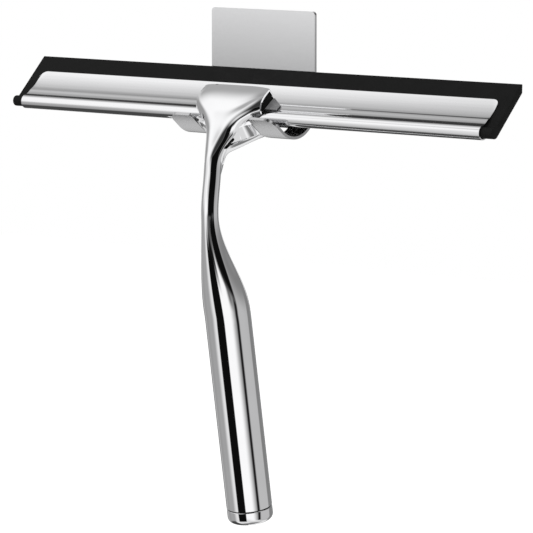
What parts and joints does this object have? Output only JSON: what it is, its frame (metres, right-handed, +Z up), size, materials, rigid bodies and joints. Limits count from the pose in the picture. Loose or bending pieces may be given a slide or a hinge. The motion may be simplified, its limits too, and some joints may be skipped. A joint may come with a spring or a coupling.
{
  "type": "window squeegee with wall hook",
  "caption": "T-shaped shower and window squeegee: rubber strip in a folded channel, clamped in the head of a long curved handle, hanging on a stick-on wall hook with prongs.",
  "frame": {"origin": "middle of the adhesive pad's back face, on the wall", "axes": "+X along the blade to the viewer's right, +Y into the wall, +Z up"},
  "size_m": [0.254, 0.0392, 0.2123],
  "materials": {
    "adhesive_foam": "soft pale foam tape",
    "polished_hook": "polished stainless sheet",
    "polished_channel": "polished stainless sheet",
    "black_rubber": "matte",
    "chromed_handle": "mirror chrome",
    "black_plastic": "moulded",
    "grey_plastic": "moulded",
    "screw_steel": "plain steel"
  },
  "bodies": {
    "hook": {"wall_hook": "polished_hook", "adhesive_pad": "adhesive_foam"},
    "squeegee": {"handle_shell": "chromed_handle", "clamp_block": "black_plastic", "front_liner": "grey_plastic", "back_pad": "grey_plastic", "set_screws": "screw_steel", "blade_channel": "polished_channel", "cap_plug": "black_plastic", "cap_seal": "black_rubber", "end_cap": "chromed_handle"},
    "strip": {"rubber_blade": "black_rubber"}
  },
  "joints": [
    {"name": "lift_off", "type": "slide", "parent": "hook", "child": "squeegee", "axis": [0, -0.5, 0.866], "range_m": [0, 0.08]},
    {"name": "strip_slide", "type": "slide", "parent": "squeegee", "child": "strip", "axis": [1, 0, 0], "range_m": [-0.24, 0.24]}
  ]
}
